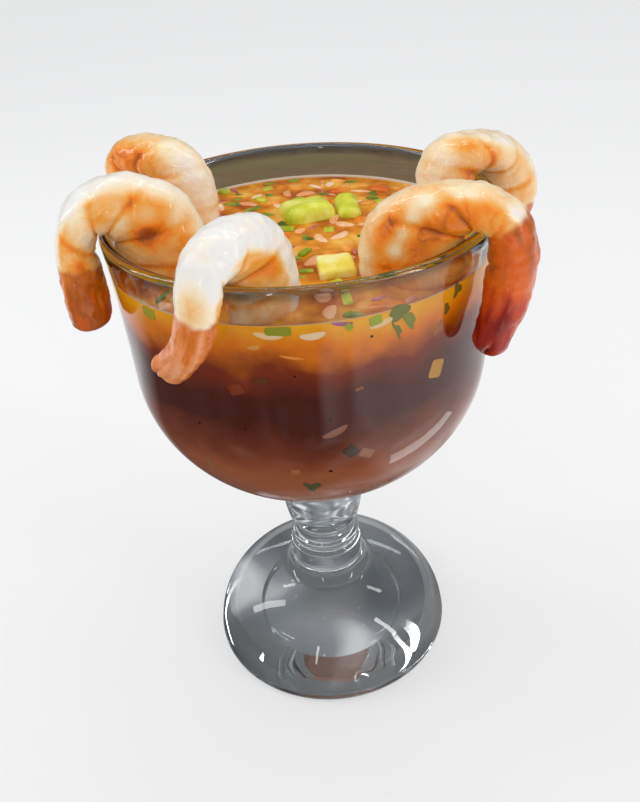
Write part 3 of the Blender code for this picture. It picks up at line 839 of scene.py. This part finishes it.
def shrimp_body(shrimp, look):
    """A closed bmesh of one shrimp, with layers of numbers that its finish reads."""
    rings = shrimp_rings(shrimp, BODY_RINGS + 1)
    shape = bmesh.new()
    bmesh.ops.create_grid(shape, x_segments=BODY_SIDES, y_segments=BODY_RINGS, size=0.5)
    flesh_layer, shell_layer, red_layer = (
        shape.verts.layers.float.new(name) for name in ("orange", "shell", "red")
    )
    for vert in shape.verts:
        turn = math.tau * (vert.co.x + 0.5)
        share = vert.co.y + 0.5
        index = round(share * BODY_RINGS)
        middle, back, half_width = rings[index]
        ahead = rings[min(index + 1, BODY_RINGS)][0]
        behind = rings[max(index - 1, 0)][0]
        along = (ahead - behind).normalized()
        half_height = back.length
        back = back.normalized()
        side = back.cross(along).normalized()
        cos, sin = math.cos(turn), math.sin(turn)

        # Segments: each is a slanting band round the body, with a crease where it starts
        in_body = 1 - rise(share, BODY_SHARE - TAIL_BLEND, BODY_SHARE + TAIL_BLEND)
        segment = (share / BODY_SHARE * SEGMENTS) % 1.0
        slant = (segment - SLANT * (1 - sin) * in_body) % 1.0
        to_crease = min(slant, 1 - slant)
        crease = math.exp(-((to_crease / CREASE_WIDTH) ** 2)) * in_body
        to_belly = rise(BELLY_FROM - sin, 0.0, 2 * BELLY_FROM)
        lobe = math.sin(math.pi * slant) * in_body
        lobe *= LOBE_ON_BACK + (1 - LOBE_ON_BACK) * to_belly
        depth = CREASE_ON_BACK + (CREASE_ON_BELLY - CREASE_ON_BACK) * to_belly
        size = 1 - depth * crease + LOBE_HEIGHT * (lobe - LOBE_SUNK * in_body)
        width = half_width * (1 - BELLY_NARROWER * max(-sin, 0.0) ** 2 * in_body)
        end = min(share, 1 - share) / ROUNDED_END
        size *= math.sqrt(max(1 - (1 - min(end, 1.0)) ** 2, SMALLEST_END))

        # The tail: broad overlapping blades, each with a rounded end
        in_fan = rise(share, *FAN_OPENS) * look["fan"]
        blades = abs(math.sin(TAIL_BLADES * math.pi / 2 * (cos + 1))) ** BLADE_ROUNDNESS
        height = half_height * (1 - in_fan * BLADE_DEPTH * (1 - blades))
        point = middle + side * (width * cos * size) + back * (height * sin * size)
        longer = in_fan * (blades - BLADE_MIDDLE) * rise(share, *FAN_LENGTHENS)
        point += along * (BLADE_REACH * longer)
        rough = noise.fractal(point / LUMP, 1.0, 2.0, 3) * LUMP_HEIGHT
        rough += noise.noise(point / DIMPLE) * DIMPLE_HEIGHT
        point += (side * cos + back * sin) * rough * (1 - SMOOTHER_FAN * in_fan)
        point = off_the_wall(point)
        vert.co = point * MM

        # What the finish reads: orange of the flesh, share of shell, redness of the shell
        pale_edge = look["pale_down_to"]
        milky = rise(sin, pale_edge - MILKY_BELOW, pale_edge + MILKY_ABOVE)
        orange = look["tone"] - (look["tone"] - look["milk"]) * milky
        orange += CREASE_ORANGE * crease * (1 - CREASE_UNDER_MILK * milky) - LOBE_PALER * lobe
        # The patches add orange and paleness; some of the orange is painted shade
        vert[flesh_layer] = orange + blush_and_shade_at(point, look["blushes_and_shade"])
        edge = look["shell_from"] + SHELL_WAVE_HEIGHT * noise.noise(point / SHELL_WAVE)
        vert[shell_layer] = rise(share, edge - SHELL_BELOW, edge + SHELL_ABOVE)
        to_tail = rise(share, look["shell_from"] + RED_GROWS_AFTER, RED_FULL)
        streak = 0.0
        for around, lengthways, strength in STREAKS:
            here = Vector((cos * around, sin * around, share * lengthways))
            streak += strength * noise.noise(here)
        red = look["red"] + (look["tail_red"] - look["red"]) * to_tail
        vert[red_layer] = red + STREAK_STRENGTH * streak - SHELL_BACK_PALER * max(sin, 0.0)
    bmesh.ops.remove_doubles(shape, verts=shape.verts, dist=MERGE_AT_ENDS)
    bmesh.ops.holes_fill(shape, edges=shape.edges, sides=0)
    bmesh.ops.recalc_face_normals(shape, faces=shape.faces)
    return shape


# %% [markdown]
# Cooked shrimp flesh
#
# Boiled shrimp is dense, wet muscle: light goes a few millimetres into it and comes out
# warm, so it needs subsurface scattering. It is milk white on the back, and orange where
# its pigment stayed: in the creases, under the belly and in fine veins. The tail keeps its
# shell, which is thin, glossy and orange to dark red.

# %% The flesh material
BLOTCH = 6 * MM
BLOTCH_STRENGTH = 0.30
FIBRE = 1.1 * MM
VEIN = 9 * MM
VEIN_WIDTH = 0.05
VEIN_ORANGE = 0.15

shrimp_flesh, tree, shader = new_material(
    "cooked_shrimp_flesh", Roughness=0.36, IOR=1.40, Coat_Weight=0.5, Coat_Roughness=0.07
)
reddest_deepest = (1.0, 0.45, 0.2)
feed(shader, Subsurface_Weight=0.22, Subsurface_Radius=reddest_deepest, Subsurface_Scale=2.2 * MM)

place = add(tree, "TexCoord").outputs["Object"]
blotches = add(tree, "TexNoise", Vector=place, Scale=1 / BLOTCH, Detail=4.0)
fibres = add(tree, "TexNoise", Vector=place, Scale=1 / FIBRE, Detail=3.0)
mottle = add(tree, "Math", "MULTIPLY_ADD", _0=blotches, _1=BLOTCH_STRENGTH, _2=-BLOTCH_STRENGTH / 2)
orange = add(tree, "Attribute", {"attribute_name": "orange"}).outputs["Fac"]
mottled_orange = add(tree, "Math", "ADD", _0=mottle, _1=orange)
veins = add(tree, "TexNoise", Vector=place, Scale=1 / VEIN, Detail=2.0, Distortion=0.8)
off_vein = add(tree, "Math", "SUBTRACT", _0=veins, _1=0.5)
distance = add(tree, "Math", "ABSOLUTE", _0=off_vein)
in_vein = add(tree, "MapRange", Value=distance, From_Max=VEIN_WIDTH, To_Min=VEIN_ORANGE, To_Max=0.0)
veined_orange = add(tree, "Math", "MULTIPLY_ADD", _0=in_vein, _1=orange, _2=mottled_orange)
flesh_colour = add(
    tree,
    "ValToRGB",
    stops=(
        (0.0, "EFEDE8"), (0.12, "F6EBDA"), (0.26, "F9DFB4"), (0.42, "F5C07C"), (0.58, "F4A43C"),
        (0.74, "F48208"), (0.88, "CE6A06"), (1.0, "A44806"),
    ),
    _0=veined_orange,
)
red = add(tree, "Attribute", {"attribute_name": "red"}).outputs["Fac"]
mottled_red = add(tree, "Math", "ADD", _0=mottle, _1=red)
shell_colour = add(
    tree,
    "ValToRGB",
    stops=(
        (0.0, "EBC0A4"), (0.16, "EC9A62"), (0.30, "D97420"), (0.45, "AE5408"), (0.60, "E06410"),
        (0.74, "C84408"), (0.88, "982008"), (1.0, "6E1408"),
    ),
    _0=mottled_red,
)
shell = add(tree, "Attribute", {"attribute_name": "shell"}).outputs["Fac"]
colour = add(tree, "Mix", COLOURS, _0=shell, _6=flesh_colour, _7=shell_colour)
bump = add(tree, "Bump", Strength=0.7, Distance=0.35 * MM, Height=fibres)
feed(shader, Base_Color=colour, Normal=bump)
print(shrimp_flesh.name, "has", len(tree.nodes), "nodes")

# %% The five shrimps
for name, look in LOOKS.items():
    body = finish_mesh(f"{name}_body", shrimp_body(SHRIMPS[name], look), shrimp_flesh)
    piece(body, "cooked_shrimp", name)

# %% [markdown]
# The cut pieces
#
# Ripe avocado, cut by hand, has flat faces and edges that round off as they soften. Each
# piece is a cube whose edges are bevelled, then split finely and pushed about by a little
# noise, so that no face is quite flat.

# %% The cut pieces' shapes
AVOCADO_WEDGE = {"middle": (2.5, 19.5, 164.6), "size": (16.5, 15.5, 10.5), "turns": (14, -6)}
AVOCADO_SLICE = {"middle": (15.9, 20.4, 164.0), "size": (7.4, 15.0, 10.0), "turns": (4, 7)}
YELLOW_CUBE = {"middle": (8.9, -25.0, 163.6), "size": (10.2, 10.2, 10.0), "turns": (5, 5)}

BEVEL_SEGMENTS = 5
FACE_CUTS = 9
LONG_EDGE = 2 * MM
DENT = 4 * MM


def cut_piece(chunk, bevel, unevenness):
    """A closed bmesh of a hand-cut piece with soft edges."""
    shape = bmesh.new()
    bmesh.ops.create_cube(shape, size=1.0)
    bmesh.ops.scale(shape, vec=Vector(chunk["size"]) * MM, verts=shape.verts)
    bmesh.ops.bevel(
        shape,
        geom=shape.verts[:] + shape.edges[:],
        offset=bevel * MM,
        segments=BEVEL_SEGMENTS,
        profile=0.5,
        affect="EDGES",
        material=-1,
    )
    long_edges = [edge for edge in shape.edges if edge.calc_length() > LONG_EDGE]
    bmesh.ops.subdivide_edges(shape, edges=long_edges, cuts=FACE_CUTS, use_grid_fill=True)
    about_z, about_x = (math.radians(turn) for turn in chunk["turns"])
    turn = Matrix.Rotation(about_z, 3, "Z") @ Matrix.Rotation(about_x, 3, "X")
    bmesh.ops.rotate(shape, cent=(0, 0, 0), matrix=turn, verts=shape.verts)
    bmesh.ops.translate(shape, vec=Vector(chunk["middle"]) * MM, verts=shape.verts)
    middle = Vector(chunk["middle"]) * MM
    for vert in shape.verts:
        out = (vert.co - middle).normalized()
        vert.co += out * noise.fractal(vert.co / DENT, 1.0, 2.0, 3) * unevenness * MM
    bmesh.ops.recalc_face_normals(shape, faces=shape.faces)
    return shape


# %% The avocado and the yellow cube materials
def soft_flesh(name, scale, stops, rough):
    """A wet, soft cut surface whose colour drifts with a noise of the given size."""
    made, tree, shader = new_material(name, Roughness=rough, IOR=1.40, Coat_Weight=0.3)
    yellow_deepest = (1.0, 0.9, 0.25)
    feed(shader, Subsurface_Weight=0.2, Subsurface_Radius=yellow_deepest, Subsurface_Scale=2 * MM)
    place = add(tree, "TexCoord").outputs["Object"]
    drift = add(tree, "TexNoise", Vector=place, Scale=1 / scale, Detail=3.0)
    colour = add(tree, "ValToRGB", stops=stops, _0=drift)
    grain = add(tree, "TexNoise", Vector=place, Scale=4 / scale, Detail=2.0)
    bump = add(tree, "Bump", Strength=0.4, Distance=0.3 * MM, Height=grain)
    feed(shader, Base_Color=colour, Normal=bump)
    print(name, "is made")
    return made


avocado_flesh = soft_flesh(
    "avocado_flesh", 6 * MM, ((0.35, "C0CA26"), (0.5, "DADC3E"), (0.68, "EEF07C")), 0.4
)
yellow_cut = soft_flesh(
    "yellow_cut_cube", 5 * MM, ((0.35, "F6DC4C"), (0.5, "FCEA74"), (0.68, "FDF4B0")), 0.35
)
shape = cut_piece(AVOCADO_WEDGE, bevel=3.6, unevenness=0.25)
wedge = finish_mesh("avocado_wedge_cut", shape, avocado_flesh)
piece(wedge, "avocado", "avocado_wedge")
shape = cut_piece(AVOCADO_SLICE, bevel=2.8, unevenness=0.2)
slab = finish_mesh("avocado_slice_cut", shape, avocado_flesh)
piece(slab, "avocado", "avocado_slice")
shape = cut_piece(YELLOW_CUBE, bevel=1.2, unevenness=0.2)
cube = finish_mesh("yellow_cube_cut", shape, yellow_cut)
piece(cube, "yellow_cube", "yellow_cube")

# %% [markdown]
# The chopped pieces afloat
#
# Onion, red onion, tomato, green pepper and coriander leaf are chopped small and stirred
# in; most float just under the surface. They are real little solids: a sliver is a ball
# pulled long, flattened and bent, a dice is a cube with softened edges, and a leaf is a
# flat ball with lobes round it. They are scattered with a fixed seed, clear of each other
# and of all that stands in the broth.

# %% The free places
SCATTER_SEED = 11
CLEAR_OF_FLESH = 0.4
CLEAR_OF_CUTS = 1.0
RINGS_LOOKED_AT = 60
NEAR_THE_SURFACE = 9.0
ACROSS_A_RING = (-0.6, -0.3, 0.0, 0.3, 0.6)


def taken_circles():
    """Circles on the broth that shrimps and cut pieces take up: x, y and radius."""
    circles = []
    for shrimp in SHRIMPS.values():
        for middle, back, half_width in shrimp_rings(shrimp, RINGS_LOOKED_AT):
            if abs(middle.z - BROTH_LEVEL) > NEAR_THE_SURFACE:
                continue
            across = Vector((back.x, back.y)).length
            for share in ACROSS_A_RING:
                place = middle + back * share
                circles.append((place.x, place.y, min(half_width, across) + CLEAR_OF_FLESH))
    for chunk in (AVOCADO_WEDGE, AVOCADO_SLICE, YELLOW_CUBE):
        x, y, _ = chunk["middle"]
        circles.append((x, y, 0.5 * min(chunk["size"][:2]) + CLEAR_OF_CUTS))
    return circles


taken = taken_circles()
print(len(taken), "circles are taken")

# %% One small piece
# Shares of a piece's size: a dice's bevel, a sliver's bend, and a leaf's lobes and waves
DICE_BEVEL = 0.16
SLIVER_BEND = 0.9
LEAF_LOBES, LOBE_REACH = 3, 0.16
LEAF_WAVES, WAVE_REACH = 2.4, 0.5


def small_piece(shape, kind, size, matrix):
    """Adds one chopped piece to a bmesh and returns its corners."""
    long, wide, high = size
    if kind == "dice":
        made = bmesh.ops.create_cube(shape, size=1.0)["verts"]
        edges = list({edge for vert in made for edge in vert.link_edges})
        faces = bmesh.ops.bevel(
            shape,
            geom=made + edges,
            offset=DICE_BEVEL,
            segments=2,
            profile=0.5,
            affect="EDGES",
            material=-1,
        )["faces"]
        made = list({vert for face in faces for vert in face.verts})
    else:
        made = bmesh.ops.create_icosphere(shape, subdivisions=3, radius=0.5)["verts"]
    for vert in made:
        x, y, z = vert.co
        if kind == "sliver":
            y += SLIVER_BEND * x * x
        if kind == "leaf":
            lobes = 1 + LOBE_REACH * math.cos(LEAF_LOBES * math.atan2(y, x))
            here = Vector((x * LEAF_WAVES, y * LEAF_WAVES, long + wide))
            lobes += WAVE_REACH * noise.noise(here)
            x, y = x * lobes, y * lobes
        vert.co = matrix @ Vector((x * long, y * wide, z * high))
    return made


# %% The materials of the small pieces
onion = soft_flesh("raw_onion", 9 * MM, ((0.36, "E89C62"), (0.5, "F2B888"), (0.64, "FADCB8")), 0.3)
red_onion = soft_flesh(
    "raw_red_onion", 7 * MM, ((0.36, "96405C"), (0.5, "C06C70"), (0.64, "E8A084")), 0.3
)
tomato = soft_flesh(
    "chopped_tomato", 9 * MM, ((0.36, "DC6608"), (0.5, "EC8A1C"), (0.64, "F4B050")), 0.25
)
pepper = soft_flesh(
    "green_pepper", 8 * MM, ((0.36, "7E9010"), (0.5, "AAB41A"), (0.64, "D4CE3C")), 0.3
)
coriander = soft_flesh(
    "coriander_leaf", 6 * MM, ((0.36, "50600C"), (0.5, "748216"), (0.64, "A0A828")), 0.5
)

# %% The pieces afloat
# Kind, how many, and the ranges of length, width and height in millimetres
AFLOAT = {
    "onion_slivers": (onion, "sliver", 44, (4.5, 9.5), (2.4, 4.8), (1.4, 2.0)),
    "red_onion_slivers": (red_onion, "sliver", 26, (4.0, 7.5), (1.2, 2.2), (1.2, 1.6)),
    "tomato_pieces": (tomato, "sliver", 36, (5.5, 10.5), (3.2, 5.4), (1.6, 2.2)),
    "pepper_dice": (pepper, "dice", 34, (2.8, 5.4), (2.2, 4.2), (1.8, 2.6)),
    "coriander_leaves": (coriander, "leaf", 34, (4.0, 7.0), (2.6, 4.6), (0.7, 1.0)),
}

# A piece's room as a share of its length and width, how near others it may come, how deep
# it floats as a share of its height, how it tilts, and how often a place is tried for it
ROOM = 0.25
NEAR_OTHERS, NEAR_FLESH = 0.8, 0.6
DEEPEST, HIGHEST = -0.42, -0.05
TILT = 0.12
TRIES = 60

chance = random.Random(SCATTER_SEED)
wanted = [name for name, row in AFLOAT.items() for _ in range(row[2])]
chance.shuffle(wanted)
shapes = {name: bmesh.new() for name in AFLOAT}
placed = []
for name in wanted:
    _, kind, _, *ranges = AFLOAT[name]
    size = [chance.uniform(*span) for span in ranges]
    room = ROOM * (size[0] + size[1])
    for _ in range(TRIES):
        angle = chance.uniform(0, math.tau)
        radius = EDGE_RADIUS * math.sqrt(chance.random())
        x, y = radius * math.cos(angle), radius * math.sin(angle)
        near = any(math.dist((x, y), (a, b)) < NEAR_OTHERS * (room + c) for a, b, c in placed)
        blocked = any(math.dist((x, y), (a, b)) < NEAR_FLESH * room + c for a, b, c in taken)
        if radius + room < EDGE_RADIUS and not near and not blocked:
            break
    else:
        continue
    placed.append((x, y, room))
    lift = BROTH_LEVEL + chance.uniform(DEEPEST, HIGHEST) * size[2]
    spin = Matrix.Rotation(chance.uniform(0, math.tau), 4, "Z")
    tilt = Matrix.Rotation(chance.gauss(0, TILT), 4, "X")
    matrix = Matrix.Translation(Vector((x, y, lift)) * MM) @ spin @ tilt @ Matrix.Scale(MM, 4)
    small_piece(shapes[name], kind, size, matrix)
print(len(placed), "pieces afloat of", len(wanted))
for name, shape in shapes.items():
    piece(finish_mesh(name, shape, AFLOAT[name][0], sharp=60), "tomato_broth")

# %% [markdown]
# The pieces against the glass
#
# Some pieces have drifted to the wall, where they press flat against the glass and show
# through it. Those near the top keep their colour; deeper ones are seen through a film of
# cloudy broth and take its colour at their height, which is painted light and shade, and
# all of them have a faint painted glow. Each is bent to the wall's own curve, and stands a
# little further into the glass than the broth does, as the broth itself does.

# %% Pieces against the glass
FILM = 0.30

# Kind, angle round the glass in degrees, height, length, width, turn, and colour
# Deeper pieces' colours follow the broth's painted light and shade at their height
AGAINST_GLASS = (
    ("sliver", -100.6, 163.6, 7.6, 2.0, -6, "FBD9A4"),
    ("sliver", -89.2, 163.0, 6.6, 2.2, 4, "FCE0B4"),
    ("sliver", -70.9, 163.4, 7.0, 1.8, 12, "F8D8A0"),
    ("sliver", -104.7, 160.1, 3.6, 1.6, 10, "E8A850"),
    ("sliver", -95.1, 157.0, 6.4, 0.9, -12, "F29A3C"),
    ("dice", -52.5, 143.0, 4.6, 5.6, -18, "D99A28"),
    ("dice", -111.7, 146.4, 4.2, 3.4, 20, "8E3C10"),
    ("dice", -104.1, 149.9, 4.4, 1.8, 6, "6E3A10"),
    ("dice", -77.6, 145.0, 2.2, 0.9, 10, "A05A20"),
    ("sliver", -84.9, 131.9, 7.6, 2.2, 24, "A0664A"),
    ("dice", -80.7, 124.6, 3.6, 4.0, 40, "4A2E16"),
    ("dice", -76.0, 122.8, 4.2, 3.2, -30, "A86E48"),
    ("leaf", -93.3, 110.6, 4.4, 4.6, 30, "555A30"),
    ("dice", -97.6, 118.4, 2.6, 2.0, 0, "B06C42"),
    ("sliver", -127.5, 115.8, 5.2, 0.9, 80, "8E7A30"),
    ("leaf", -66.0, 165.2, 6.0, 4.4, 10, "7C8030"),
    ("leaf", -63.0, 162.6, 3.0, 6.5, 30, "8C9236"),
    ("leaf", -66.5, 160.4, 1.6, 6.0, 24, "7C842C"),
    ("leaf", -45.6, 165.0, 3.4, 4.4, 0, "6C6626"),
    ("leaf", -49.4, 160.6, 2.4, 3.0, 0, "7E5C26"),
    ("dice", -97.9, 165.0, 6.5, 2.6, 0, "9AA020"),
    ("dice", -72.7, 164.8, 3.4, 2.8, 10, "A8B42A"),
    ("dice", -79.9, 164.6, 1.8, 2.2, 40, "A8B42A"),
    ("sliver", -81.5, 165.6, 5.6, 1.2, -8, "B0609A"),
    ("dice", -137.4, 164.4, 5.0, 3.2, 0, "B0A828"),
    ("sliver", -52.5, 156.0, 5.0, 1.4, 60, "A86A18"),
    ("ball", -86.2, 136.5, 0.9, 0.9, 0, "1C0E08"),
    ("ball", -87.0, 117.8, 1.1, 1.1, 0, "140C08"),
    ("ball", -110.8, 133.3, 0.7, 0.7, 0, "1C0E08"),
    ("ball", -73.8, 160.4, 0.9, 0.7, 0, "2A1408"),
    ("ball", -126.4, 131.7, 0.9, 0.9, 0, "140C08"),
    ("ball", -94.8, 151.2, 0.6, 0.6, 0, "2A1408"),
    ("ball", -47.8, 146.2, 1.1, 1.1, 0, "2A1408"),
)

in_the_film, tree, shader = new_material("pieces_in_a_film_of_broth", Roughness=0.3, IOR=1.34)
tint = add(tree, "Attribute", {"attribute_name": "tint"}).outputs["Color"]
# The emission is a painted glow, as on the broth's sides
feed(shader, Base_Color=tint, Emission_Color=tint, Emission_Strength=PAINTED_GLOW_STRENGTH)


def broth_side(height):
    """Radius in millimetres of the broth's side at a height."""
    if height >= BOWL_TURN_HEIGHT:
        return wall_middle(height) - WALL_HALF + INTO_WALL
    share = (BOWL_TURN_HEIGHT - height) / (INSIDE_DEPTH + INTO_WALL)
    return (BOWL_RADIUS - 2 * WALL_HALF + INTO_WALL) * math.sqrt(1 - share * share)


shape = bmesh.new()
tint_layer = shape.verts.layers.float_color.new("tint")
for kind, angle, height, long, wide, turn, code in AGAINST_GLASS:
    made = small_piece(shape, kind, (long, wide, 1.0), Matrix.Rotation(math.radians(turn), 4, "Z"))
    for vert in made:
        x, y, out = vert.co
        radius = broth_side(height + y)
        around = math.radians(angle) + x / radius
        radius += FILM * 2 * out
        vert.co = Vector((radius * math.cos(around), radius * math.sin(around), height + y)) * MM
        vert[tint_layer] = linear(code)
pressed = finish_mesh("pieces_against_the_glass", shape, in_the_film)
piece(pressed, "tomato_broth")

size = {"cad_box": cad_box, "visual_box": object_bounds()}
